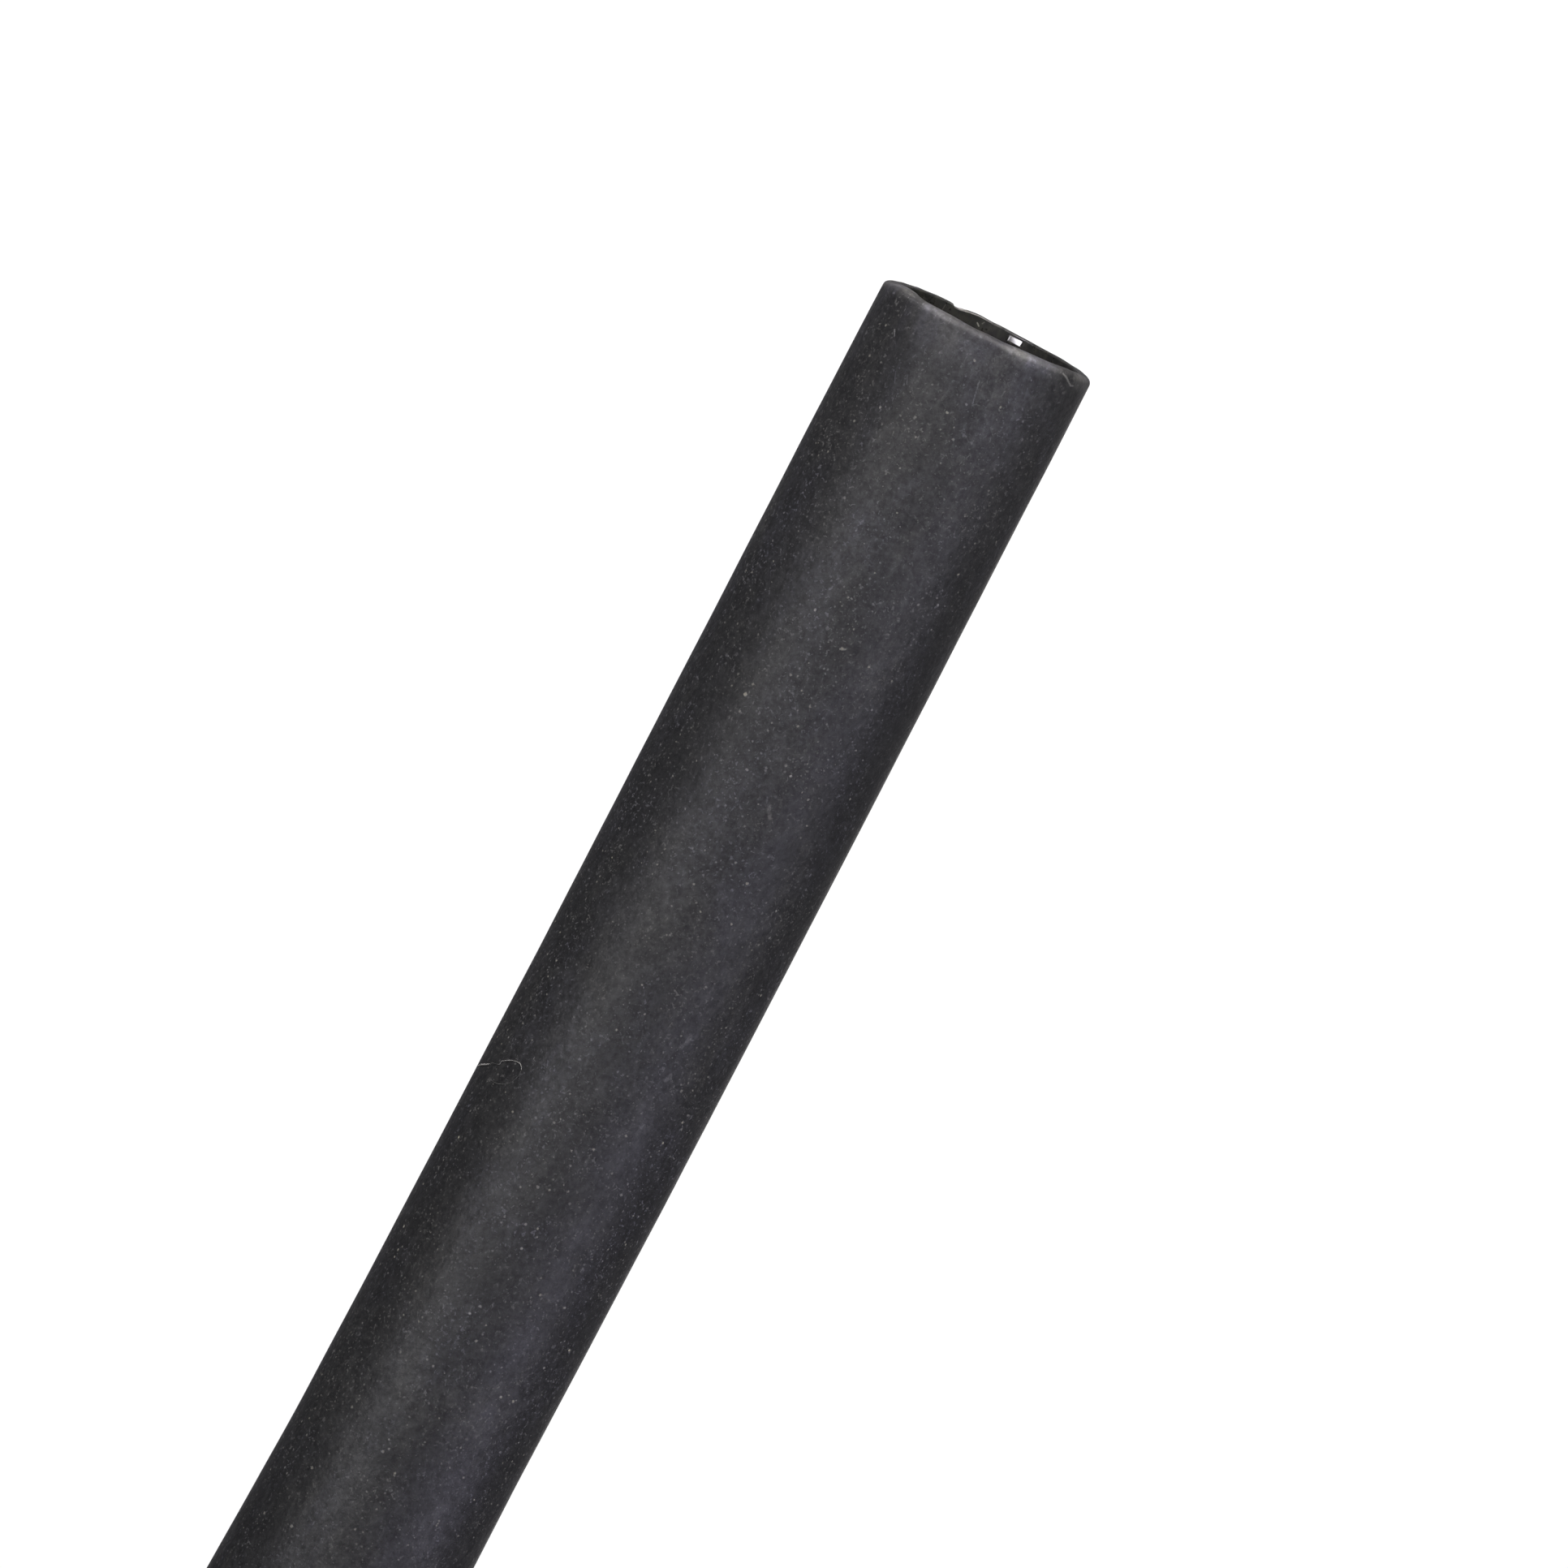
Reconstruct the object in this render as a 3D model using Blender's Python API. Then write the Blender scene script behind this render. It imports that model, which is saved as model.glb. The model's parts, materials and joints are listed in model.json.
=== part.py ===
"""A length of heat shrink tube lying on its wider side.

One extruded tube, slightly oval, with an even wall and rounded lips at both
cut ends. It is straight near the mouth, bends gently in the floor plane
towards the far end, and is pressed a little wider and flatter half way.
Metres, +Z up, the mouth faces +X, the floor is z = 0.
"""
import math

import bmesh
import bpy
from mathutils import Matrix, Vector

MM = 0.001

# Section, as supplied and before shrinking
WIDTH = 11.60 * MM          # outside, across the floor
HEIGHT = 10.90 * MM         # outside, from the floor up
WALL = 0.85 * MM
SEGMENTS = 48               # flats around the section, one of them down

# Length and bend
LENGTH = 152.4 * MM
STRAIGHT = 28.6 * MM        # from the mouth to where the bend starts
BEND = 0.1735               # sideways drift of the centreline, per metre of length squared
STATIONS = 19               # rings along the length

# The stretch that is pressed wider and flatter
PRESSED_AT = 82.0 * MM      # its middle, from the mouth
PRESSED_REACH = 20.0 * MM   # to each side of its middle
PRESSED_BY = 0.30 * MM      # more half width and less half height, at its middle

# Cut ends
OUTER_ROUND = 0.40 * MM     # rounding of each end's outer edge
OUTER_STEPS = 5
INNER_ROUND = 0.10 * MM     # rounding of each end's inner edge
INNER_STEPS = 2
MOUTH_SKEW = math.radians(0.9)  # the mouth is cut this far off square

COLOUR = (0.024, 0.024, 0.027, 1.0)
ROUGHNESS = 0.52


def drift(s):
    """Sideways offset of the centreline, s metres from the mouth."""
    past = max(0.0, s - STRAIGHT)
    return BEND * past * past


def lean(s):
    """Angle of the centreline to its straight part, s metres from the mouth."""
    return math.atan(2.0 * BEND * max(0.0, s - STRAIGHT))


def pressed(s):
    """How much wider and flatter each half of the section is, s metres from the mouth."""
    away = abs(s - PRESSED_AT) / PRESSED_REACH
    return PRESSED_BY * math.cos(0.5 * math.pi * away) ** 2 if away < 1.0 else 0.0


def ring_points(s, inset, skew=0.0):
    """One ring of the section, inset from the outside, square to the centreline but for the skew."""
    half_width = WIDTH / 2 + pressed(s) - inset
    half_height = HEIGHT / 2 - pressed(s) - inset
    centre = Vector((-s, drift(s), 0.0))
    turn = Matrix.Rotation(-lean(s) + skew, 3, "Z")
    points = []
    for i in range(SEGMENTS):
        a = 2.0 * math.pi * (i + 0.5) / SEGMENTS
        local = Vector((0.0, half_width * math.cos(a), half_height * math.sin(a)))
        points.append(centre + turn @ local)
    return points


def station(i):
    """Distance from the mouth of ring i: one run to the bend, the rest evenly."""
    if i == 0:
        return 0.0
    return STRAIGHT + (LENGTH - STRAIGHT) * (i - 1) / (STATIONS - 2)


def ring_edges(bm, order):
    """The edges of one closed ring of vertices, in order."""
    return [bm.edges.get((order[k], order[(k + 1) % SEGMENTS])) for k in range(SEGMENTS)]


def skin(bm, inset):
    """Extrude one ring along the centreline and return its two end rings."""
    order = [bm.verts.new(p) for p in ring_points(0.0, inset, MOUTH_SKEW)]
    for k in range(SEGMENTS):
        bm.edges.new((order[k], order[(k + 1) % SEGMENTS]))
    first = order
    loop = ring_edges(bm, order)
    for i in range(1, STATIONS):
        made = bmesh.ops.extrude_edge_only(bm, edges=loop)["geom"]
        new_verts = {v for v in made if isinstance(v, bmesh.types.BMVert)}
        target = ring_points(station(i), inset)
        nxt = []
        for k, old in enumerate(order):
            new = next(e.other_vert(old) for e in old.link_edges if e.other_vert(old) in new_verts)
            new.co = target[k]
            nxt.append(new)
        order = nxt
        loop = ring_edges(bm, order)
    return first, order


def build_tube():
    bm = bmesh.new()
    outer = skin(bm, 0.0)
    inner = skin(bm, WALL)
    for out, into in zip(outer, inner):
        for k in range(SEGMENTS):
            n = (k + 1) % SEGMENTS
            bm.faces.new((out[k], out[n], into[n], into[k]))
    bmesh.ops.recalc_face_normals(bm, faces=bm.faces)
    for rings, radius, steps in ((outer, OUTER_ROUND, OUTER_STEPS), (inner, INNER_ROUND, INNER_STEPS)):
        rims = [edge for ring in rings for edge in ring_edges(bm, ring)]
        bmesh.ops.bevel(
            bm, geom=rims, offset=radius, offset_type="OFFSET",
            segments=steps, profile=0.5, affect="EDGES", clamp_overlap=False,
        )
    # turn the line between the end centres onto X, and stand the box on the floor
    swing = math.atan2(drift(LENGTH), LENGTH)
    bmesh.ops.transform(bm, matrix=Matrix.Rotation(swing, 4, "Z"), verts=bm.verts)
    low = Vector([min(v.co[k] for v in bm.verts) for k in range(3)])
    high = Vector([max(v.co[k] for v in bm.verts) for k in range(3)])
    shift = Vector((-(low.x + high.x) / 2, -(low.y + high.y) / 2, -low.z))
    bmesh.ops.translate(bm, vec=shift, verts=bm.verts)
    mesh = bpy.data.meshes.new("heat_shrink_tube")
    bm.to_mesh(mesh)
    bm.free()
    mesh.shade_smooth()
    mesh.set_sharp_from_angle(angle=math.radians(40))
    return mesh


def make_material():
    mat = bpy.data.materials.new("tube_black")
    mat.use_nodes = True
    shader = mat.node_tree.nodes["Principled BSDF"]
    shader.inputs["Base Color"].default_value = COLOUR
    shader.inputs["Roughness"].default_value = ROUGHNESS
    shader.inputs["Metallic"].default_value = 0.0
    return mat


for old in list(bpy.data.objects):
    bpy.data.objects.remove(old, do_unlink=True)

tube = bpy.data.objects.new("heat_shrink_tube", build_tube())
tube.data.materials.append(make_material())
bpy.context.scene.collection.objects.link(tube)
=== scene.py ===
import json
import math

import bpy
import numpy as np
from mathutils import Matrix, Vector, noise


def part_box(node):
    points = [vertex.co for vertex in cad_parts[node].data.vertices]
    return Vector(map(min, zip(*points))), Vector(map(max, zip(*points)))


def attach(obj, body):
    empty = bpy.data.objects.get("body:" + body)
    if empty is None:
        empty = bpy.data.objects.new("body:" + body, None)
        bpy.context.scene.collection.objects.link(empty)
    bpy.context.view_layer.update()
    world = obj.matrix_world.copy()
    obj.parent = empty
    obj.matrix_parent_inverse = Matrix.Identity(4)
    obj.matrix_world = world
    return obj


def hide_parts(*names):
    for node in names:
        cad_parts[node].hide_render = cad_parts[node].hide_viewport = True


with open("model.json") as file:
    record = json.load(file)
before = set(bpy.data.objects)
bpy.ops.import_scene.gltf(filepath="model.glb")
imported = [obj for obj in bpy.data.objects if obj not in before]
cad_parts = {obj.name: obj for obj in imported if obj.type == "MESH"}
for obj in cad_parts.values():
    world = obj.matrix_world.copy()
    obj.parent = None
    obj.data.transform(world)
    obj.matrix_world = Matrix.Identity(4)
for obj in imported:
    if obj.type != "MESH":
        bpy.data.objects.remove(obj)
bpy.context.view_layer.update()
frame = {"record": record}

MM = 0.001

# ---------------------------------------------------------------- the tube's own measures, in mm
WIDTH, HEIGHT, WALL = 11.60, 10.90, 0.85
LENGTH, STRAIGHT, BEND = 152.4, 28.6, 0.1735 * MM
PRESSED_AT, PRESSED_REACH, PRESSED_BY = 82.0, 20.0, 0.30
LIP_OUT, LIP_IN = 0.40, 0.10          # rounding of the cut end's outer and inner edge
MOUTH_SKEW = math.radians(0.9)

mounts = {m["name"]: m for m in frame["record"]["mounts"]}
low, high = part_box("heat_shrink_tube")
MOUTH = np.array([mounts["mouth_face"]["pos_m"][0] / MM, mounts["mouth_face"]["pos_m"][1] / MM, HEIGHT / 2])
SWING = math.atan2(BEND * (LENGTH - STRAIGHT) ** 2, LENGTH)


def drift(s):
    return BEND * np.maximum(0.0, s - STRAIGHT) ** 2


def lean(s):
    return np.arctan(2.0 * BEND * np.maximum(0.0, s - STRAIGHT))


def pressed(s):
    away = np.abs(s - PRESSED_AT) / PRESSED_REACH
    return np.where(away < 1.0, PRESSED_BY * np.cos(0.5 * np.pi * np.minimum(away, 1.0)) ** 2, 0.0)


def bump(x, middle, half):
    """A smooth hump of height 1 at the middle and 0 past half to each side."""
    t = np.clip(np.abs(x - middle) / half, 0.0, 1.0)
    return np.cos(0.5 * np.pi * t) ** 2


def smooth(x, points):
    """A curve through the points, level at each one."""
    for (x0, y0), (x1, y1) in zip(points, points[1:]):
        if x <= x1:
            t = min(max((x - x0) / (x1 - x0), 0.0), 1.0)
            return y0 + (y1 - y0) * t * t * (3 - 2 * t)
    return points[-1][1]


# ---------------------------------------------------------------- the tube's mesh
# How far the cut lip stands out, in mm, across the upper and the lower half: u runs from -1 at the +Y side to 1
UPPER_LIP = [(-1.0, -0.110), (-0.96, -0.060), (-0.89, 0.110), (-0.82, 0.095), (-0.755, 0.025), (-0.685, -0.020), (-0.60, -0.012), (-0.36, -0.008), (-0.14, -0.040),
             (0.02, -0.022), (0.16, -0.030), (0.34, 0.008), (0.50, 0.022), (0.66, 0.014), (0.86, 0.050), (0.95, 0.010), (1.0, -0.070)]
LOWER_LIP = [(-1.0, -0.110), (-0.88, -0.066), (-0.80, -0.050), (-0.765, -0.016), (-0.69, -0.030), (-0.58, -0.014), (-0.445, -0.030), (-0.405, -0.145), (-0.355, -0.150),
             (-0.30, -0.090), (-0.25, -0.040), (-0.16, -0.006), (0.00, -0.040), (0.07, -0.026), (0.30, -0.050), (0.60, -0.055), (0.72, -0.035), (0.825, -0.055), (0.91, -0.045), (1.0, -0.070)]
# The small bead of smooth plastic on the lower inner wall: from and to across, in mm towards -Y, and its foot and crest, in mm from the cut
BEAD_FROM, BEAD_TO, BEAD_FOOT, BEAD_CREST, BEAD_HIGH = 1.00, 1.90, 0.15, 0.50, 0.155


def angles():
    """The angles round the section: even, with more of them where the lower lip is nicked and where the bead is."""
    fine = [(-math.acos(0.46), -math.acos(0.20)), (-math.acos(-0.14), -math.acos(-0.36))]
    stops, a = [], 0.0
    step = 2 * math.pi / 236
    while a < 2 * math.pi - step * 0.35:
        stops.append(a)
        w = a - 2 * math.pi if a > math.pi else a
        dense = any(lo - 0.03 <= w <= hi + 0.03 for lo, hi in (sorted(f) for f in fine))
        a += step * (0.28 if dense else 1.0)
    return stops


TURNS = angles()
AROUND = len(TURNS)


def rows():
    """The closed profile that is swept round: (s from the mouth, inset from the outside), outer skin first."""
    def run(stops):
        out = []
        for (a, b, step) in stops:
            n = max(1, int(round(abs(b - a) / step)))
            out += [a + (b - a) * k / n for k in range(n)]
        return out
    path = []
    outer = run([(LIP_OUT, 3.0, 0.13), (3.0, 12.0, 0.45), (12.0, 80.0, 0.85), (80.0, LENGTH - LIP_OUT, 1.5)]) + [LENGTH - LIP_OUT]
    path += [(s, 0.0) for s in reversed(outer)]
    k = 7
    for i in range(1, k + 1):
        b = 0.5 * math.pi * i / k
        path.append((LIP_OUT * (1 - math.sin(b)), LIP_OUT * (1 - math.cos(b))))
    flat = WALL - LIP_OUT - LIP_IN
    path.append((0.0, LIP_OUT + flat * 0.5))
    k = 4
    for i in range(0, k + 1):
        b = 0.5 * math.pi * i / k
        path.append((LIP_IN * (1 - math.cos(b)), WALL - LIP_IN * (1 - math.sin(b))))
    inner = run([(LIP_IN + 0.03, 0.60, 0.035), (0.60, 1.2, 0.08), (1.2, 4.0, 0.3), (4.0, LENGTH - 1.0, 3.0)]) + [LENGTH - 1.0, LENGTH - LIP_IN]
    path += [(s, WALL) for s in inner]
    k = 4
    for i in range(1, k + 1):
        b = 0.5 * math.pi * i / k
        path.append((LENGTH - LIP_IN * (1 - math.sin(b)), WALL - LIP_IN * (1 - math.cos(b))))
    path.append((LENGTH, LIP_OUT + flat * 0.5))
    k = 6
    for i in range(0, k):
        b = 0.5 * math.pi * i / k
        path.append((LENGTH - LIP_OUT * (1 - math.cos(b)), LIP_OUT * (1 - math.sin(b))))
    return np.array(path)


def wave(x, y, z, seed):
    return noise.noise(Vector((x + seed * 17.3, y - seed * 9.1, z + seed * 4.7)))


def surface(s, inset, a):
    """World position in mm of the point at s from the mouth, inset from the outside and at angle a, where 0 is the +Y side and a quarter turn is the top."""
    ca, sa = math.cos(a), math.sin(a)
    p = float(pressed(s))
    hw = WIDTH / 2 + p - inset
    hh = HEIGHT / 2 - p - inset
    # slow unevenness of the drawn wall, and a slightly drawn-in end
    r = 0.020 * wave(s / 9.0, ca * 1.1, sa * 1.1, 1) + 0.012 * wave(s / 3.2, ca * 2.2, sa * 2.2, 2)
    r -= 0.030 * math.exp(-s / 3.0)
    hw += r
    hh += r
    c, h = hw * ca, hh * sa
    # the cut: a little off square, wavy, its upper lip standing out on one side and its lower lip nicked
    u = -ca
    edge = math.exp(-s / 1.2)
    ahead = -c * math.tan(MOUTH_SKEW) * math.exp(-s / 4.0)
    ahead += edge * 0.010 * wave(ca * 6.0, sa * 6.0, 0.0, 4)
    if sa > 0:
        ahead += edge * smooth(u, UPPER_LIP)
    else:
        ahead += math.exp(-s / 0.30) * smooth(u, LOWER_LIP)
        # the bead on the inner wall, sloping up from its foot near the cut
        if inset > WALL - 0.01:
            over = -c
            if BEAD_FROM < over < BEAD_TO:
                side = min(1.0, (over - BEAD_FROM) / 0.06, (BEAD_TO - over) / 0.05)
                rise = (s - BEAD_FOOT) / (BEAD_CREST - BEAD_FOOT)
                lift = BEAD_HIGH * (max(0.0, rise) if rise < 1 else math.exp(-((s - BEAD_CREST) / 0.35) ** 2)) * side
                hh -= lift
                h = hh * sa
    far = math.exp(-(LENGTH - s) / 1.2)
    ahead -= far * 0.04 * wave(ca * 2.2, sa * 2.2, 0.0, 5)
    s2 = s - ahead
    lam = float(lean(s2))
    x = -s2 + c * math.sin(lam)
    y = float(drift(s2)) + c * math.cos(lam)
    cs, sn = math.cos(SWING), math.sin(SWING)
    return (MOUTH[0] + cs * x - sn * y, MOUTH[1] + sn * x + cs * y, MOUTH[2] + h)


def build_tube():
    path = rows()
    n = len(path)
    verts = []
    for s, inset in path:
        for k in range(AROUND):
            x, y, z = surface(s, inset, TURNS[k])
            verts.append((x * MM, y * MM, z * MM))
    faces, kinds = [], []
    inner_from = next(i for i in range(n) if path[i][1] > WALL - LIP_IN * 0.75)
    inner_to = max(i for i in range(n) if path[i][1] > WALL - LIP_IN * 0.75)
    for i in range(n):
        j = (i + 1) % n
        for k in range(AROUND):
            m = (k + 1) % AROUND
            faces.append((i * AROUND + k, i * AROUND + m, j * AROUND + m, j * AROUND + k))
            kinds.append(1 if inner_from <= i < inner_to else 0)
    mesh = bpy.data.meshes.new("tube_skin")
    mesh.from_pydata(verts, [], faces)
    mesh.validate()
    mesh.update()
    mesh.shade_smooth()
    mesh.polygons.foreach_set("material_index", kinds)
    return mesh


# ---------------------------------------------------------------- node helpers
def material(name):
    m = bpy.data.materials.new(name)
    m.use_nodes = True
    m.node_tree.nodes.clear()
    return m, m.node_tree


class Graph:
    def __init__(self, tree):
        self.t = tree

    def node(self, kind, **props):
        n = self.t.nodes.new(kind)
        for k, v in props.items():
            if k.startswith("in_"):
                key = k[3:]
                key = int(key) if key.isdigit() else key.replace("_", " ")
                self.put(n.inputs[key], v)
            else:
                setattr(n, k, v)
        return n

    def put(self, socket, v):
        if isinstance(v, bpy.types.NodeSocket):
            self.t.links.new(v, socket)
        else:
            socket.default_value = v

    def math(self, op, a, b=None, c=None, clamp=False):
        n = self.t.nodes.new("ShaderNodeMath")
        n.operation = op
        n.use_clamp = clamp
        self.put(n.inputs[0], a)
        if b is not None:
            self.put(n.inputs[1], b)
        if c is not None:
            self.put(n.inputs[2], c)
        return n.outputs[0]

    def ramp(self, value, low_in, high_in, low_out=0.0, high_out=1.0, smooth=True):
        n = self.t.nodes.new("ShaderNodeMapRange")
        n.interpolation_type = "SMOOTHSTEP" if smooth else "LINEAR"
        self.put(n.inputs["Value"], value)
        self.put(n.inputs["From Min"], low_in)
        self.put(n.inputs["From Max"], high_in)
        self.put(n.inputs["To Min"], low_out)
        self.put(n.inputs["To Max"], high_out)
        return n.outputs["Result"]

    def mix(self, factor, a, b, kind="MIX"):
        n = self.t.nodes.new("ShaderNodeMix")
        n.data_type = "RGBA"
        n.blend_type = kind
        self.put(n.inputs["Factor"], factor)
        self.put(n.inputs[6], a)
        self.put(n.inputs[7], b)
        return n.outputs[2]

    def place(self, vector, scale, offset=(0, 0, 0), turn=(0, 0, 0)):
        n = self.t.nodes.new("ShaderNodeMapping")
        self.put(n.inputs["Vector"], vector)
        n.inputs["Scale"].default_value = scale
        n.inputs["Location"].default_value = offset
        n.inputs["Rotation"].default_value = turn
        return n.outputs[0]

    def noise(self, vector, scale, detail=2.0, rough=0.5, distort=0.0):
        n = self.t.nodes.new("ShaderNodeTexNoise")
        self.put(n.inputs["Vector"], vector)
        n.inputs["Scale"].default_value = scale
        n.inputs["Detail"].default_value = detail
        n.inputs["Roughness"].default_value = rough
        n.inputs["Distortion"].default_value = distort
        return n.outputs["Fac"]

    def vec(self, op, a, b=None, scale=None):
        n = self.t.nodes.new("ShaderNodeVectorMath")
        n.operation = op
        self.put(n.inputs[0], a)
        if b is not None:
            self.put(n.inputs[1], b)
        if scale is not None:
            self.put(n.inputs["Scale"], scale)
        return n.outputs["Value"] if op in ("DISTANCE", "DOT_PRODUCT", "LENGTH") else n.outputs["Vector"]

    def bent(self, vector, scale, amount):
        """The vector pushed about by up to half the amount, so that what is laid out on it comes out ragged."""
        n = self.t.nodes.new("ShaderNodeTexNoise")
        self.put(n.inputs["Vector"], vector)
        n.inputs["Scale"].default_value = scale
        n.inputs["Detail"].default_value = 2.0
        off = self.vec("SUBTRACT", n.outputs["Color"], (0.5, 0.5, 0.5))
        return self.vec("ADD", vector, self.vec("SCALE", off, scale=amount))

    def spot(self, vector, at, radius):
        """1 at a point, fading to 0 past the radius."""
        return self.ramp(self.vec("DISTANCE", vector, at), radius, 0.35 * radius)

    def stroke(self, vector, points, radius):
        """1 along a line through the points, fading to 0 past the radius."""
        whole = None
        for a, b in zip(points, points[1:]):
            run = tuple(q - p for p, q in zip(a, b))
            size2 = sum(v * v for v in run)
            rel = self.vec("SUBTRACT", vector, a)
            part = self.math("DIVIDE", self.vec("DOT_PRODUCT", rel, run), size2, clamp=True)
            near = self.vec("SCALE", run, scale=part)
            one = self.ramp(self.vec("DISTANCE", rel, near), radius, 0.3 * radius)
            whole = one if whole is None else self.math("MAXIMUM", whole, one)
        return whole

    def most(self, pairs):
        """The largest of several masks, each times its weight."""
        whole = None
        for mask, weight in pairs:
            one = self.math("MULTIPLY", mask, weight)
            whole = one if whole is None else self.math("MAXIMUM", whole, one)
        return whole

    def specks(self, vector, scale, radius, share):
        """Soft round specks: 1 at the middle of a share of the cells and 0 past the radius, which is in the vector's units. Also gives each cell's random colour."""
        n = self.t.nodes.new("ShaderNodeTexVoronoi")
        n.feature = "F1"
        self.put(n.inputs["Vector"], vector)
        n.inputs["Scale"].default_value = scale
        sep = self.t.nodes.new("ShaderNodeSeparateColor")
        self.t.links.new(n.outputs["Color"], sep.inputs[0])
        size = self.math("MULTIPLY_ADD", sep.outputs[1], 0.75 * radius * scale, 0.25 * radius * scale)
        d = self.math("DIVIDE", n.outputs["Distance"], size)
        soft = self.ramp(d, 0.15, 1.0, 1.0, 0.0)
        chosen = self.math("LESS_THAN", sep.outputs[0], share)
        return self.math("MULTIPLY", soft, chosen), sep.outputs[2]


# ---------------------------------------------------------------- materials
# Marks on the outside, in mm in the tube's frame: a curled scratch by the lip, fine scratches, bright grains and a smudge
CURL = [(76.16, -3.69, 9.01), (76.05, -3.92, 8.81), (75.89, -4.12, 8.57), (75.75, -4.30, 8.33), (75.77, -4.43, 8.11)]
FINE = [
    ([(73.98, -0.18, 10.85), (73.34, -0.31, 10.84), (72.82, -0.42, 10.82)], 0.050, 0.085),
    ([(74.10, 4.77, 9.21), (73.82, 4.62, 9.35)], 0.070, 0.15),
    ([(72.51, 3.13, 10.34), (72.05, 2.93, 10.43)], 0.035, 0.07),
    ([(73.66, 4.95, 9.02), (73.04, 5.04, 8.91)], 0.035, 0.06),
    ([(72.34, 3.73, 10.01), (71.82, 3.50, 10.14)], 0.035, 0.06),
    ([(72.03, 2.65, 10.54), (71.63, 2.22, 10.67)], 0.035, 0.06),
    ([(58.83, -0.41, 10.86), (58.92, -0.66, 10.83)], 0.070, 0.16),
]
GRAINS = [
    ((74.74, 0.52, 10.89), 0.100, 0.22), ((72.68, 1.81, 10.77), 0.085, 0.12), ((72.33, 4.60, 9.35), 0.095, 0.15), ((72.62, -0.17, 10.86), 0.095, 0.15),
    ((70.76, -0.42, 10.83), 0.104, 0.18), ((59.95, 1.61, 10.76), 0.100, 0.29), ((54.53, 2.67, 10.40), 0.142, 0.31), ((52.02, -1.27, 10.72), 0.100, 0.33),
    ((56.51, 1.14, 10.84), 0.095, 0.19), ((65.56, 2.98, 10.35), 0.104, 0.17), ((62.97, -3.68, 9.34), 0.104, 0.21), ((62.57, -2.81, 10.01), 0.095, 0.17),
    ((51.36, -2.60, 10.23), 0.095, 0.17), ((53.65, 2.52, 10.46), 0.104, 0.17), ((51.27, 0.81, 10.86), 0.114, 0.21), ((58.88, -0.50, 10.85), 0.100, 0.22),
    ((46.22, -1.89, 10.56), 0.109, 0.23), ((45.60, -3.84, 9.46), 0.100, 0.24), ((44.23, -4.19, 9.14), 0.100, 0.19), ((35.36, -3.94, 9.51), 0.114, 0.21),
    ((34.35, -4.81, 8.62), 0.109, 0.19), ((30.80, -1.46, 10.75), 0.100, 0.25), ((29.34, -3.76, 9.70), 0.114, 0.18), ((27.82, 0.12, 10.90), 0.119, 0.19),
    ((25.87, -0.23, 10.90), 0.104, 0.21), ((24.70, -0.63, 10.89), 0.104, 0.25), ((22.96, -3.94, 9.62), 0.104, 0.26), ((21.15, -0.18, 10.91), 0.114, 0.20),
    ((20.58, 0.11, 10.90), 0.104, 0.30), ((19.76, -4.48, 9.17), 0.104, 0.28), ((17.60, -3.91, 9.69), 0.114, 0.31), ((14.96, -4.56, 9.13), 0.104, 0.19),
    ((12.37, 0.66, 10.81), 0.109, 0.21), ((9.82, 3.39, 9.64), 0.114, 0.21), ((6.77, 2.90, 9.93), 0.133, 0.27),
]
SMUDGE = [
    ([(50.20, -0.98, 10.78), (49.68, -1.35, 10.70)], 0.16, 0.085),
    ([(50.54, -0.76, 10.82), (50.30, -0.86, 10.80)], 0.08, 0.06),
    ([(50.79, -0.98, 10.78), (50.72, -1.41, 10.69), (50.40, -1.60, 10.65)], 0.12, 0.045),
    ([(37.30, -2.84, 10.22), (37.66, -3.02, 10.11), (38.12, -3.03, 10.10)], 0.17, 0.075),
    ([(35.90, -3.08, 10.10), (35.50, -2.98, 10.17)], 0.15, 0.070),
    ([(32.98, -3.05, 10.13), (32.50, -3.01, 10.16)], 0.15, 0.065),
    ([(30.34, -0.68, 10.87), (30.00, -1.12, 10.82)], 0.10, 0.060),
    ([(30.30, -1.49, 10.74), (29.88, -1.45, 10.76)], 0.10, 0.060),
]


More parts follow.
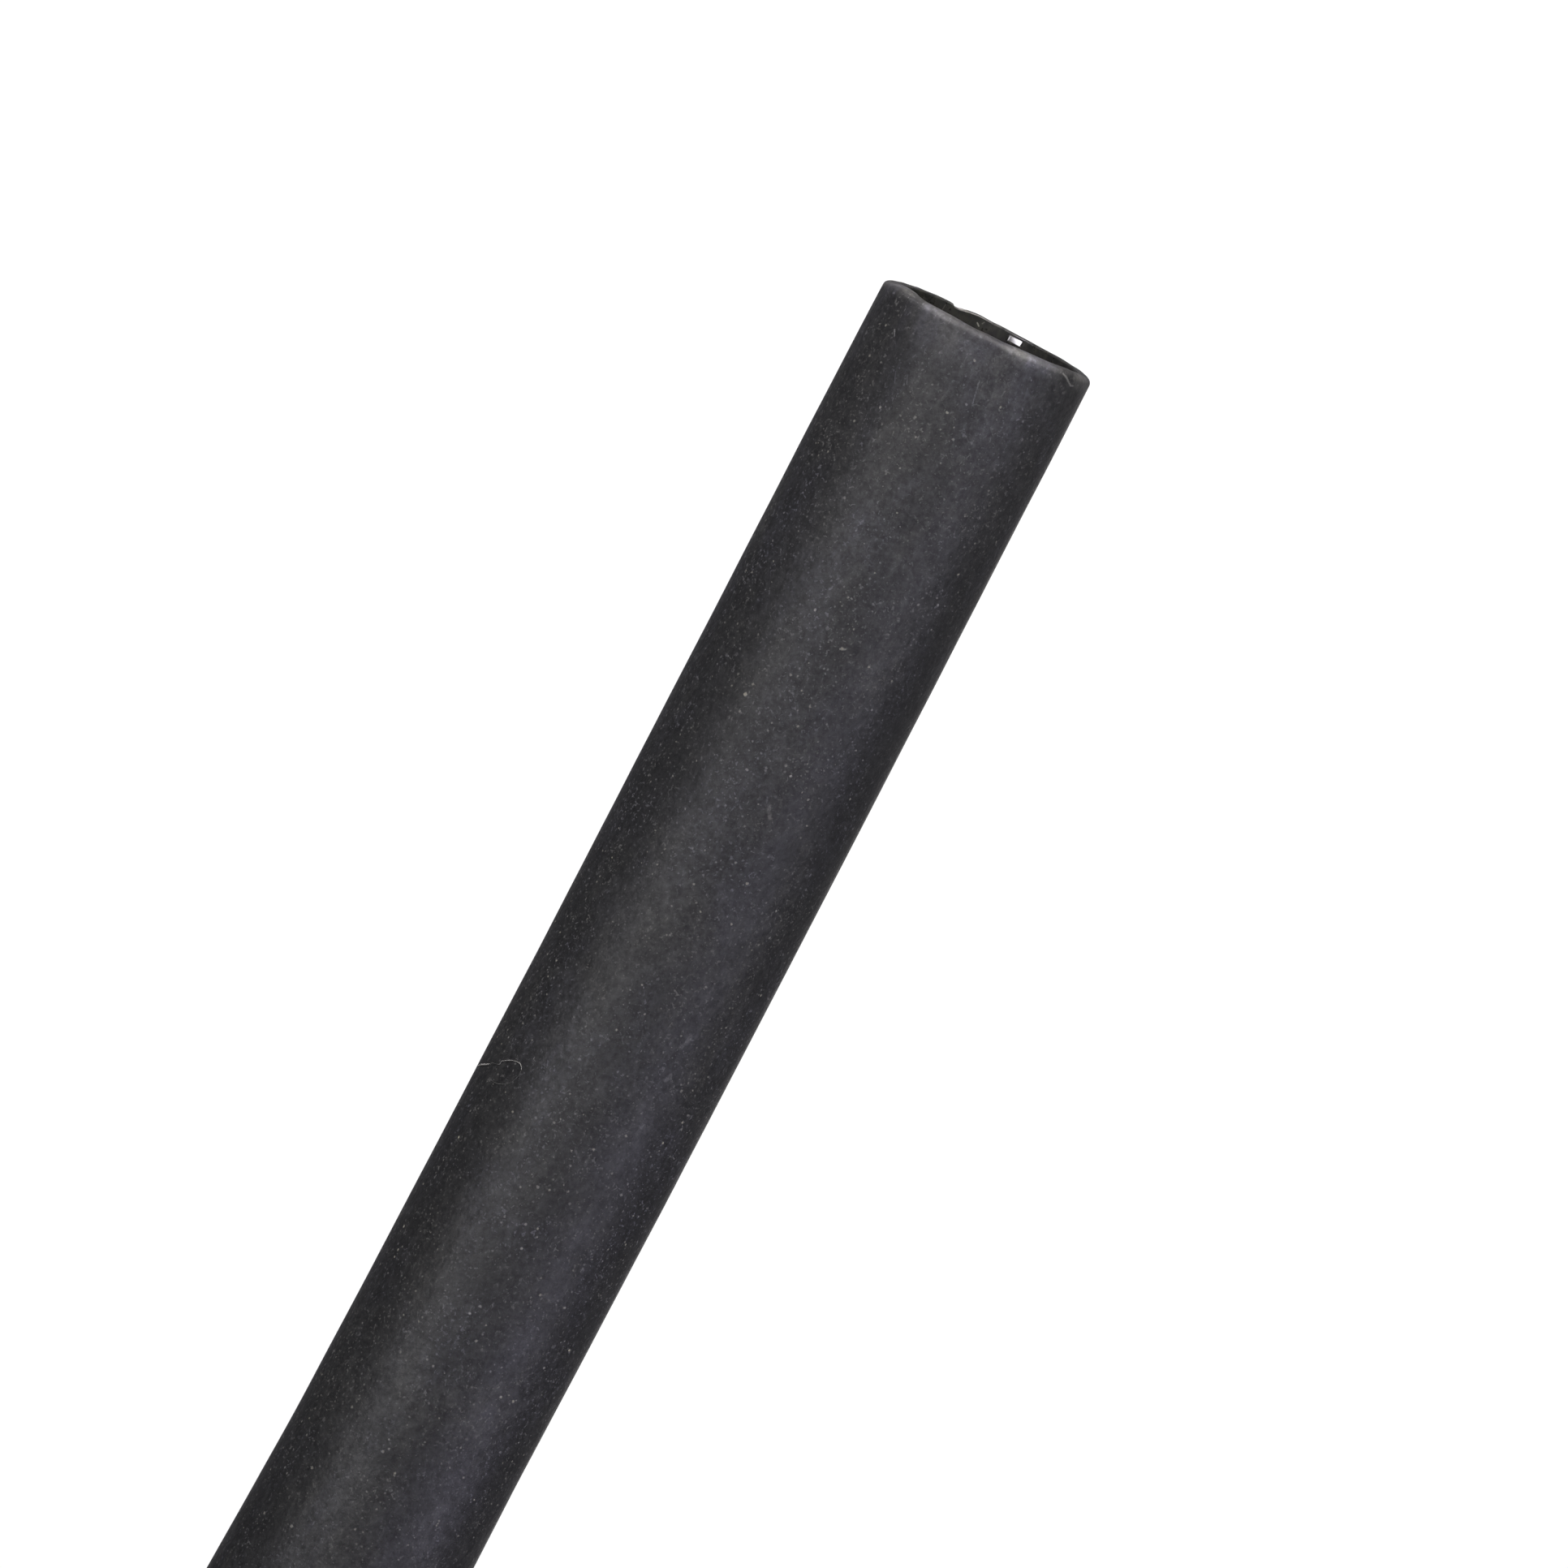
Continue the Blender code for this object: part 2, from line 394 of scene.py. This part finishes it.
def outside_material():
    m, t = material("tube_black_outside")
    g = Graph(t)
    out = g.node("ShaderNodeOutputMaterial")
    p = g.node("ShaderNodeBsdfPrincipled")
    t.links.new(p.outputs[0], out.inputs["Surface"])
    coord = g.node("ShaderNodeTexCoord").outputs["Object"]
    mm = g.place(coord, (1000, 1000, 1000))
    along = g.place(coord, (170, 1000, 1000), turn=(0, 0, 0.012))
    ragged = g.bent(mm, 8.0, 0.11)
    sep = g.node("ShaderNodeSeparateXYZ", in_0=mm)
    from_mouth = g.math("SUBTRACT", float(MOUTH[0]), sep.outputs[0])
    from_far = g.math("SUBTRACT", float(LENGTH), from_mouth)
    to_end = g.math("MINIMUM", from_mouth, from_far)

    # a thin uneven film of dust, as a share that covers the black
    film_a = g.ramp(g.noise(g.place(mm, (0.8, 1, 1), (5, 11, 2)), 1.5, 5.0, 0.62, 0.3), 0.40, 0.72)
    film_b = g.ramp(g.noise(g.place(mm, (1, 1, 1), (2, 19, 7)), 4.6, 3.0, 0.6, 0.4), 0.42, 0.74)
    wide = g.ramp(g.noise(g.place(mm, (0.6, 1, 1), (14, 3, 9)), 0.24, 3.0, 0.55), 0.36, 0.66, 0.45, 1.0)
    film = g.math("MULTIPLY", g.math("ADD", g.math("MULTIPLY", film_a, 0.026), g.math("MULTIPLY", film_b, 0.026)), wide)
    streak = g.ramp(g.noise(along, 3.6, 3.0, 0.62), 0.50, 0.80, 0.0, 0.015)
    film = g.math("ADD", film, streak)
    # there is more dust down the sides; the right side near the mouth is darkened as painted shade by thinning its dust
    # film there
    sides = g.ramp(sep.outputs[2], 10.3, 8.3, 0.0, 1.0)
    right_painted_shade = g.math("MULTIPLY", g.math("MULTIPLY", sides, g.ramp(sep.outputs[1], -0.5, -3.5)), g.ramp(from_mouth, 42.0, 20.0))
    film = g.math("MULTIPLY", film, g.math("MULTIPLY_ADD", right_painted_shade, -0.50, 1.0))
    # painted highlight on the cut lip: paler spots on the lip and on the nick in its lower edge, mottled by noise
    lip = g.ramp(to_end, 0.85, 0.20)
    painted_highlight_mottle = g.ramp(g.noise(g.place(mm, (1, 1, 1), (8, 8, 1)), 3.2, 4.0, 0.65), 0.34, 0.70, 0.35, 1.0)
    painted_lip_highlight = g.most([(g.spot(mm, (76.10, -1.60, 10.50), 1.5), 0.120), (g.spot(mm, (76.10, -2.40, 10.00), 2.0), 0.075), (g.spot(mm, (76.00, 5.30, 7.80), 1.8), 0.085),
                     (g.spot(mm, (76.05, 3.45, 10.10), 1.1), 0.075), (g.spot(mm, (76.00, -5.00, 7.40), 1.4), 0.070), (g.spot(mm, (75.98, 2.40, 0.75), 0.60), 0.50)])
    film = g.math("ADD", film, g.math("MULTIPLY", g.math("MULTIPLY", lip, painted_highlight_mottle), painted_lip_highlight))
    # a paler collar just behind it, painted light
    painted_collar_light = g.math("MULTIPLY", g.spot(mm, (75.40, 2.30, 10.40), 3.6), g.ramp(from_mouth, 2.5, 1.1))
    film = g.math("ADD", film, g.math("MULTIPLY", g.math("MULTIPLY", painted_collar_light, painted_highlight_mottle), g.ramp(from_mouth, 1.3, 0.8, 0.050, 0.058)))
    # fine lengthwise rubbing near the ends
    rub = g.ramp(g.noise(g.place(coord, (230, 1000, 1000), (3, 1, 6), (0, 0, -0.16)), 5.5, 2.0, 0.55), 0.60, 0.76)
    rub = g.math("MULTIPLY", rub, g.ramp(to_end, 9.0, 1.0))
    film = g.math("ADD", film, g.math("MULTIPLY", rub, 0.022))

    # specks and short bent traces, denser in some stretches
    crowd = g.ramp(g.noise(g.place(mm, (0.7, 1, 1), (21, 4, 4)), 0.42, 3.0, 0.6, 0.5), 0.40, 0.64)
    scuffed = g.most([(g.spot(mm, (61.50, -0.30, 10.87), 1.5), 0.9), (g.stroke(mm, [(57.90, 0.30, 10.90), (59.80, -0.40, 10.85), (61.60, -1.20, 10.75)], 0.9), 0.8),
                      (g.spot(mm, (30.10, -1.10, 10.80), 1.6), 0.8), (g.spot(mm, (36.70, -3.00, 10.10), 1.6), 0.8), (g.spot(mm, (70.20, -1.00, 10.80), 1.8), 0.7)])
    crowd = g.math("MAXIMUM", crowd, scuffed)
    trace = g.ramp(g.noise(g.place(mm, (1, 1, 1), (6, 2, 13)), 5.2, 1.5, 0.5, 0.8), 0.585, 0.76)
    trace = g.math("MULTIPLY", trace, g.math("MULTIPLY_ADD", crowd, 0.048, 0.054))
    # the specks gather down the sides, and are thinned on the right near the mouth as part of the painted shade
    dust_thickness_and_shade = g.math("MULTIPLY", g.math("MULTIPLY_ADD", sides, 0.85, 0.95), g.math("MULTIPLY_ADD", right_painted_shade, -0.60, 1.0))
    trace = g.math("MULTIPLY", trace, dust_thickness_and_shade)
    fine, fine_c = g.specks(ragged, 5.0, 0.085, g.math("MULTIPLY_ADD", crowd, 0.55, 0.38))
    mid, mid_c = g.specks(g.place(ragged, (1, 1, 1), (3.1, 8.2, 1.7)), 2.3, 0.110, g.math("MULTIPLY_ADD", crowd, 0.50, 0.48))
    big, big_c = g.specks(g.place(ragged, (1, 1, 1), (7.4, 1.9, 5.2)), 0.85, 0.130, 0.85)
    even, even_c = g.specks(g.place(ragged, (1, 1, 1), (13.1, 2.2, 9.7)), 3.2, 0.100, g.math("MULTIPLY_ADD", crowd, 0.45, 0.50))
    dash_a, dash_ac = g.specks(g.place(coord, (330, 1000, 1000), (9, 4, 2), (0, 0, 0.35)), 2.1, 0.050, 0.60)
    dash_b, dash_bc = g.specks(g.place(coord, (1000, 380, 1000), (1, 7, 3), (0.2, 0, 0.5)), 1.9, 0.050, 0.50)
    dust = g.most([
        (fine, g.math("MULTIPLY_ADD", g.math("POWER", fine_c, 1.3), 0.115, 0.012)),
        (mid, g.math("MULTIPLY_ADD", g.math("POWER", mid_c, 1.8), 0.26, 0.03)),
        (big, g.math("MULTIPLY_ADD", g.math("POWER", big_c, 2.2), 0.27, 0.05)),
        (even, g.math("MULTIPLY_ADD", g.math("POWER", even_c, 1.3), 0.125, 0.035)),
        (dash_a, g.math("MULTIPLY_ADD", dash_ac, 0.15, 0.03)),
        (dash_b, g.math("MULTIPLY_ADD", dash_bc, 0.14, 0.03)),
    ])
    # dustier towards the far end
    dust = g.math("MULTIPLY", dust, g.math("MULTIPLY", g.ramp(from_mouth, 4.0, 45.0, 1.0, 1.15), g.ramp(from_mouth, 1.2, 3.6, 0.5, 1.0)))
    dust = g.math("MULTIPLY", dust, dust_thickness_and_shade)
    dust = g.math("MAXIMUM", dust, g.most([(g.spot(ragged, at, radius), weight) for at, radius, weight in GRAINS]))
    marks = g.most([(g.stroke(ragged, CURL, 0.080), 0.14)] + [(g.stroke(ragged, line, radius), weight) for line, radius, weight in FINE])
    smudge = g.most([(g.stroke(g.bent(mm, 3.0, 0.25), line, radius), weight) for line, radius, weight in SMUDGE])
    smudge = g.math("MULTIPLY", smudge, g.ramp(film_b, 0.0, 0.8, 0.45, 1.0))
    cover = g.math("MAXIMUM", g.math("MAXIMUM", dust, marks), g.math("ADD", g.math("ADD", film, trace), smudge), clamp=True)

    tint = g.ramp(g.noise(g.place(mm, (0.5, 1, 1), (31, 7, 3)), 0.30, 3.0, 0.6, 0.4), 0.38, 0.64)
    grey = g.mix(tint, (0.60, 0.59, 0.545, 1), (0.56, 0.555, 0.66, 1))
    pale = g.mix(g.ramp(dust, 0.05, 0.25), grey, g.mix(mid_c, (0.62, 0.61, 0.60, 1), (0.60, 0.57, 0.44, 1)))
    base = g.mix(cover, (0.0118, 0.0118, 0.0122, 1), pale)
    t.links.new(base, p.inputs["Base Color"])

    rough = g.ramp(g.noise(mm, 0.8, 4.0, 0.6), 0.3, 0.7, 0.50, 0.57)
    rough = g.math("ADD", rough, g.math("MULTIPLY", g.math("MAXIMUM", dust, marks), 0.3), clamp=True)
    t.links.new(rough, p.inputs["Roughness"])
    p.inputs["IOR"].default_value = 1.48
    # the dusty film takes some of the sheen
    sheen = g.ramp(g.noise(g.place(mm, (0.7, 1, 1), (1, 2, 8)), 0.75, 4.0, 0.64), 0.30, 0.70, 0.43, 0.56)
    sheen = g.math("MULTIPLY", sheen, g.ramp(g.noise(g.place(mm, (1, 1, 1), (4, 4, 12)), 3.0, 4.0, 0.66, 0.5), 0.30, 0.70, 0.74, 1.20))
    # the top of the lip is duller
    dull = g.math("MULTIPLY", g.spot(mm, (76.10, 0.95, 10.87), 2.0), lip)
    sheen = g.math("MULTIPLY", sheen, g.math("MULTIPLY_ADD", dull, -0.55, 1.0))
    p.inputs["Specular IOR Level"].default_value = 0.48
    t.links.new(sheen, p.inputs["Specular IOR Level"])
    # the film shows more where it is seen edge on
    p.inputs["Sheen Weight"].default_value = 0.11
    p.inputs["Sheen Roughness"].default_value = 0.22

    b = g.node("ShaderNodeBump")
    b.inputs["Strength"].default_value = 0.6
    b.inputs["Distance"].default_value = 0.00004
    h = g.math("ADD", g.noise(mm, 4.2, 3.0, 0.62), g.math("MULTIPLY", g.noise(along, 2.4, 2.0, 0.6), 0.5))
    h = g.math("ADD", h, g.math("MULTIPLY", g.noise(mm, 1.3, 2.0, 0.55), 1.6))
    g.put(b.inputs["Height"], h)
    t.links.new(b.outputs[0], p.inputs["Normal"])
    return m


def inside_material():
    m, t = material("tube_black_inside")
    g = Graph(t)
    out = g.node("ShaderNodeOutputMaterial")
    p = g.node("ShaderNodeBsdfPrincipled")
    t.links.new(p.outputs[0], out.inputs["Surface"])
    coord = g.node("ShaderNodeTexCoord").outputs["Object"]
    mm = g.place(coord, (1000, 1000, 1000))
    tone = g.ramp(g.noise(mm, 2.6, 4.0, 0.6), 0.40, 0.70)
    base = g.mix(tone, (0.016, 0.016, 0.015, 1), (0.034, 0.033, 0.028, 1))
    sp, spc = g.specks(mm, 2.4, 0.08, 0.5)
    bits = g.most([
        (sp, g.math("MULTIPLY_ADD", spc, 0.2, 0.02)),
        (g.stroke(mm, [(75.78, 1.29, 0.91), (75.67, 1.15, 0.89)], 0.050), 0.45),
        (g.stroke(mm, [(75.86, 1.05, 0.89), (75.97, 0.99, 0.88)], 0.045), 0.16),
        (g.stroke(mm, [(75.56, 3.15, 1.52), (75.86, 3.13, 1.51)], 0.040), 0.12),
    ])
    base = g.mix(bits, base, (0.62, 0.60, 0.52, 1))
    t.links.new(base, p.inputs["Base Color"])
    rough = g.ramp(g.noise(mm, 2.0, 3.0, 0.6), 0.3, 0.7, 0.26, 0.40)
    # the bead is polished
    cs, sn = math.cos(SWING), math.sin(SWING)
    rel = g.vec("SUBTRACT", mm, tuple(float(v) for v in MOUTH))
    over = g.vec("DOT_PRODUCT", rel, (sn, -cs, 0.0))
    deep = g.vec("DOT_PRODUCT", rel, (-cs, -sn, 0.0))
    low_side = g.math("LESS_THAN", g.vec("DOT_PRODUCT", rel, (0.0, 0.0, 1.0)), 0.0)
    corner = g.math("ADD", g.math("POWER", g.math("MAXIMUM", g.math("DIVIDE", g.math("SUBTRACT", BEAD_FROM + 0.30, over), 0.30), 0.0), 2.0),
                    g.math("POWER", g.math("MAXIMUM", g.math("DIVIDE", g.math("SUBTRACT", BEAD_CREST - 0.04, deep), BEAD_CREST - BEAD_FOOT - 0.04), 0.0), 2.0))
    bead = g.math("MULTIPLY", g.ramp(corner, 1.05, 0.85), g.math("MULTIPLY", g.ramp(over, BEAD_TO, BEAD_TO - 0.05), low_side))
    bead = g.math("MULTIPLY", bead, g.ramp(deep, BEAD_CREST + 0.02, BEAD_CREST - 0.02))
    t.links.new(g.ramp(bead, 0.2, 0.8, rough, 0.14), p.inputs["Roughness"])
    p.inputs["IOR"].default_value = 1.48
    b = g.node("ShaderNodeBump")
    b.inputs["Distance"].default_value = 0.00004
    g.put(b.inputs["Strength"], g.ramp(bead, 0.0, 0.3, 0.4, 0.0))
    g.put(b.inputs["Height"], g.noise(mm, 1.8, 3.0, 0.55))
    t.links.new(b.outputs[0], p.inputs["Normal"])
    return m


def lint_material():
    m, t = material("lint_grey")
    g = Graph(t)
    out = g.node("ShaderNodeOutputMaterial")
    p = g.node("ShaderNodeBsdfPrincipled")
    t.links.new(p.outputs[0], out.inputs["Surface"])
    mm = g.place(g.node("ShaderNodeTexCoord").outputs["Object"], (1000, 1000, 1000))
    shown = g.most([(g.spot(mm, (31.50, 5.46, 6.95), 1.5), 1.0), (g.spot(mm, (32.40, 4.45, 8.80), 0.80), 0.36), (g.spot(mm, (32.72, 3.85, 9.46), 0.60), 0.26)])
    shown = g.math("MULTIPLY", shown, g.ramp(g.noise(mm, 4.0, 2.0), 0.3, 0.7, 0.7, 1.0))
    t.links.new(g.mix(shown, (0.105, 0.105, 0.10, 1), (0.60, 0.58, 0.55, 1)), p.inputs["Base Color"])
    p.inputs["Roughness"].default_value = 0.75
    return m


# ---------------------------------------------------------------- a loop of lint on the tube
# (x, y, z) in mm on the tube's surface, with the fibre's radius there
LINT = [
    (31.28, 5.64, 6.15, 0.014), (31.41, 5.54, 6.64, 0.026), (31.51, 5.46, 6.95, 0.034), (31.60, 5.36, 7.25, 0.036), (31.71, 5.23, 7.56, 0.028),
    (31.82, 5.15, 7.74, 0.009), (31.94, 5.04, 7.96, 0.008), (32.01, 4.88, 8.24, 0.008), (32.10, 4.71, 8.49, 0.018), (32.26, 4.69, 8.52, 0.022),
    (32.36, 4.60, 8.65, 0.020), (32.44, 4.50, 8.78, 0.017), (32.54, 4.38, 8.92, 0.021), (32.62, 4.26, 9.06, 0.026), (32.68, 4.11, 9.21, 0.024),
    (32.72, 3.97, 9.35, 0.022), (32.72, 3.85, 9.46, 0.023), (32.68, 3.75, 9.54, 0.021), (32.56, 3.65, 9.62, 0.015), (32.40, 3.61, 9.65, 0.009),
    (32.19, 3.60, 9.66, 0.008), (31.97, 3.65, 9.61, 0.014), (31.77, 3.73, 9.55, 0.008), (31.59, 3.84, 9.45, 0.008), (31.39, 4.07, 9.23, 0.009),
    (31.24, 4.33, 8.96, 0.014), (31.20, 4.53, 8.72, 0.008), (31.20, 4.70, 8.48, 0.012),
]


def centre_y(x):
    """The tube's centreline in plan, in mm, at x."""
    s = (MOUTH[0] - x) / math.cos(SWING)
    for _ in range(3):
        s = (MOUTH[0] - x - math.sin(SWING) * float(drift(s))) / math.cos(SWING)
    return MOUTH[1] - math.sin(SWING) * s + math.cos(SWING) * float(drift(s))


def build_lint():
    knots = np.array(LINT)
    fine = []
    for i in range(len(knots) - 1):
        p0, p1, p2, p3 = (knots[min(max(i + d, 0), len(knots) - 1)] for d in (-1, 0, 1, 2))
        for k in range(4):
            t = k / 4.0
            fine.append(0.5 * (2 * p1 + (p2 - p0) * t + (2 * p0 - 5 * p1 + 4 * p2 - p3) * t * t + (3 * p1 - p0 - 3 * p2 + p3) * t ** 3))
    fine.append(knots[-1])
    fine = np.array(fine)
    points, radii = [], []
    for i, (x, y, z, r) in enumerate(fine):
        # on the tube's section there, lifted so that the fibre lies on it
        dy, dz = y - centre_y(x), z - HEIGHT / 2
        k = 1.0 / math.sqrt((dy / (WIDTH / 2)) ** 2 + (dz / (HEIGHT / 2)) ** 2)
        away = Vector((0.0, dy / (WIDTH / 2) ** 2, dz / (HEIGHT / 2) ** 2)).normalized()
        lift = r + 0.012 + 0.03 * float(bump(i, 0.42 * len(fine), 0.12 * len(fine)))
        points.append(Vector((x, centre_y(x) + dy * k, HEIGHT / 2 + dz * k)) + away * lift)
        radii.append(max(r, 0.006))
    verts, faces, ring = [], [], 7
    for i, at in enumerate(points):
        run = (points[min(i + 1, len(points) - 1)] - points[max(i - 1, 0)]).normalized()
        side = run.cross(Vector((0, 0, 1))).normalized()
        high = side.cross(run)
        for k in range(ring):
            b = 2 * math.pi * k / ring
            verts.append((at + (side * math.cos(b) + high * math.sin(b)) * radii[i]) * MM)
    for i in range(len(points) - 1):
        for k in range(ring):
            m = (k + 1) % ring
            faces.append((i * ring + k, (i + 1) * ring + k, (i + 1) * ring + m, i * ring + m))
    faces.append(tuple(range(ring)))
    faces.append(tuple(reversed(range((len(points) - 1) * ring, len(points) * ring))))
    mesh = bpy.data.meshes.new("lint_fibre")
    mesh.from_pydata([tuple(v) for v in verts], [], faces)
    mesh.update()
    mesh.shade_smooth()
    return mesh


tube = bpy.data.objects.new("heat_shrink_tube_skin", build_tube())
bpy.context.scene.collection.objects.link(tube)
tube.data.materials.append(outside_material())
tube.data.materials.append(inside_material())
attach(tube, "root")
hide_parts("heat_shrink_tube")

lint = bpy.data.objects.new("lint_fibre", build_lint())
bpy.context.scene.collection.objects.link(lint)
lint.data.materials.append(lint_material())
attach(lint, "root")

# ---------------------------------------------------------------- directions along and across the tube at the mouth
A = Vector((math.cos(SWING), math.sin(SWING), 0.0))       # out of the mouth
R = Vector((math.sin(SWING), -math.cos(SWING), 0.0))      # to the right, seen from above with the mouth up
Z = Vector((0, 0, 1))
mouth = Vector(MOUTH) * MM

# ---------------------------------------------------------------- floor
def build_floor():
    mesh = bpy.data.meshes.new("floor")
    rings, seg = [0.0, 0.15, 0.4, 1.0, 3.0, 9.0], 64
    verts, faces = [(0, 0, 0)], []
    for r in rings[1:]:
        verts += [(r * math.cos(2 * math.pi * k / seg), r * math.sin(2 * math.pi * k / seg), 0) for k in range(seg)]
    for k in range(seg):
        faces.append((0, 1 + k, 1 + (k + 1) % seg))
    for i in range(len(rings) - 2):
        for k in range(seg):
            m = (k + 1) % seg
            faces.append((1 + i * seg + k, 1 + (i + 1) * seg + k, 1 + (i + 1) * seg + m, 1 + i * seg + m))
    top = 1 + (len(rings) - 2) * seg
    # the floor turns up into a round backdrop
    steps = 10
    base = top
    for j in range(1, steps + 1):
        b = 0.5 * math.pi * j / steps
        r, z = 9.0 * math.cos(b * 0.96), 9.0 * math.sin(b * 0.96)
        ring = len(verts)
        verts += [(r * math.cos(2 * math.pi * k / seg), r * math.sin(2 * math.pi * k / seg), z) for k in range(seg)]
        for k in range(seg):
            m = (k + 1) % seg
            faces.append((base + k, ring + k, ring + m, base + m))
        base = ring
    mesh.from_pydata(verts, [], faces)
    mesh.update()
    mesh.shade_smooth()
    ob = bpy.data.objects.new("floor", mesh)
    bpy.context.scene.collection.objects.link(ob)
    m, t = material("floor_white")
    g = Graph(t)
    out = g.node("ShaderNodeOutputMaterial")
    p = g.node("ShaderNodeBsdfPrincipled")
    p.inputs["Base Color"].default_value = (0.05, 0.05, 0.05, 1)
    p.inputs["Roughness"].default_value = 0.9
    p.inputs["Specular IOR Level"].default_value = 0.0
    p.inputs["Emission Color"].default_value = (1, 1, 1, 1)
    p.inputs["Emission Strength"].default_value = 0.99
    t.links.new(p.outputs[0], out.inputs["Surface"])
    mesh.materials.append(m)
    ob.visible_glossy = False
    ob.visible_diffuse = False


build_floor()

# ---------------------------------------------------------------- light
def lamp(name, towards, distance, size, radiance, colour, aim=None):
    """A rectangular soft light in a direction given as (right, out of the mouth, up), whose face has the given radiance."""
    d = (R * towards[0] + A * towards[1] + Z * towards[2]).normalized()
    at = (aim if aim is not None else mouth - A * 0.03) 
    data = bpy.data.lights.new(name, "AREA")
    data.shape = "RECTANGLE"
    data.size, data.size_y = size
    data.energy = radiance * math.pi * size[0] * size[1]
    data.color = colour
    ob = bpy.data.objects.new(name, data)
    ob.location = at + d * distance
    ob.rotation_euler = d.to_track_quat("Z", "Y").to_euler()
    ob.visible_camera = False
    bpy.context.scene.collection.objects.link(ob)
    return ob


def off_top(degrees, ahead=0.0):
    a = math.radians(degrees)
    return (math.sin(a), ahead, math.cos(a))


lower = mouth - A * 0.088
lamp("soft_left", off_top(-33), 0.42, (0.084, 0.084), 16.2, (0.975, 0.965, 0.99), lower)
lamp("soft_top", off_top(-5), 0.20, (0.04, 0.04), 6.2, (0.93, 0.92, 1.0), mouth)
lamp("soft_high", off_top(35, -0.08), 1.0, (0.20, 0.20), 4.0, (0.70, 0.68, 1.0))
lamp("soft_right", off_top(55), 0.42, (0.084, 0.084), 13.4, (0.81, 0.78, 1.0), lower)
lamp("far_left", off_top(-33), 0.05, (0.010, 0.010), 6.6, (0.98, 0.965, 0.98), mouth - A * 0.058)
lamp("far_right", off_top(55), 0.05, (0.010, 0.010), 7.0, (0.82, 0.78, 1.0), mouth - A * 0.068)
lamp("far_end", (0.22, -0.94, 0.26), 0.07, (0.02, 0.02), 34.0, (0.98, 0.97, 1.0), mouth - A * 0.1524)
lamp("front_low", (0.10, 0.97, 0.20), 0.8, (0.20, 0.20), 50.0, (1.0, 0.94, 0.90))
lamp("front_left", (-0.50, 0.70, 0.50), 0.12, (0.03, 0.03), 46.0, (0.97, 0.94, 1.0), mouth)
lamp("front_right", (0.50, 0.70, 0.50), 0.12, (0.03, 0.03), 38.0, (1.0, 0.99, 0.98), mouth)

world = bpy.data.worlds.new("studio")
bpy.context.scene.world = world
world.use_nodes = True
world.node_tree.nodes["Background"].inputs[0].default_value = (0.93, 0.93, 1.0, 1)
world.node_tree.nodes["Background"].inputs[1].default_value = 0.13

# ---------------------------------------------------------------- camera
PX_PER_MM = 284.7 / WIDTH
FRAME_MM = 1932.0 / PX_PER_MM
DISTANCE = 1.5
LOOK = math.radians(4.0)       # from square, at the mouth
LEAN_PX = math.radians(27.35)  # the tube's axis in the picture, from upright
MOUTH_PX = (1219.8, 403.7)

cam_data = bpy.data.cameras.new("camera")
cam_data.sensor_width = 36.0
cam_data.sensor_fit = "HORIZONTAL"
cam_data.lens = 36.0 * DISTANCE * 1000.0 / FRAME_MM
cam_data.clip_start, cam_data.clip_end = 0.05, 100.0
cam = bpy.data.objects.new("camera", cam_data)
bpy.context.scene.collection.objects.link(cam)

dx, dy = 966.0 - MOUTH_PX[0], 966.0 - MOUTH_PX[1]
down = -dx * math.sin(LEAN_PX) + dy * math.cos(LEAN_PX)
right = dx * math.cos(LEAN_PX) + dy * math.sin(LEAN_PX)
target = mouth - A * (down / PX_PER_MM * MM / math.cos(LOOK)) + R * (right / PX_PER_MM * MM)
reach = (target - mouth).dot(A)
sin_c = 0.0
for _ in range(20):
    cos_c = math.sqrt(1 - sin_c * sin_c)
    sin_c = (math.tan(LOOK) * DISTANCE * cos_c - reach) / DISTANCE
tilt = math.asin(sin_c)
back = A * math.sin(tilt) + Z * math.cos(tilt)            # from the target to the camera
up_tube = (A * math.cos(tilt) - Z * math.sin(tilt))       # the tube's way up the picture
side = up_tube.cross(back)                                # to the right of the tube in the picture
# the tube's way up the picture leans right by LEAN_PX, so the picture's own up leans left of it
up = up_tube * math.cos(LEAN_PX) - side * math.sin(LEAN_PX)
across = up.cross(back)
m3 = Matrix((across, up, back)).transposed()
cam.matrix_world = Matrix.Translation(target + back * DISTANCE) @ m3.to_4x4()
bpy.context.scene.camera = cam
bpy.context.scene.view_settings.view_transform = "Standard"
bpy.context.scene.view_settings.look = "None"
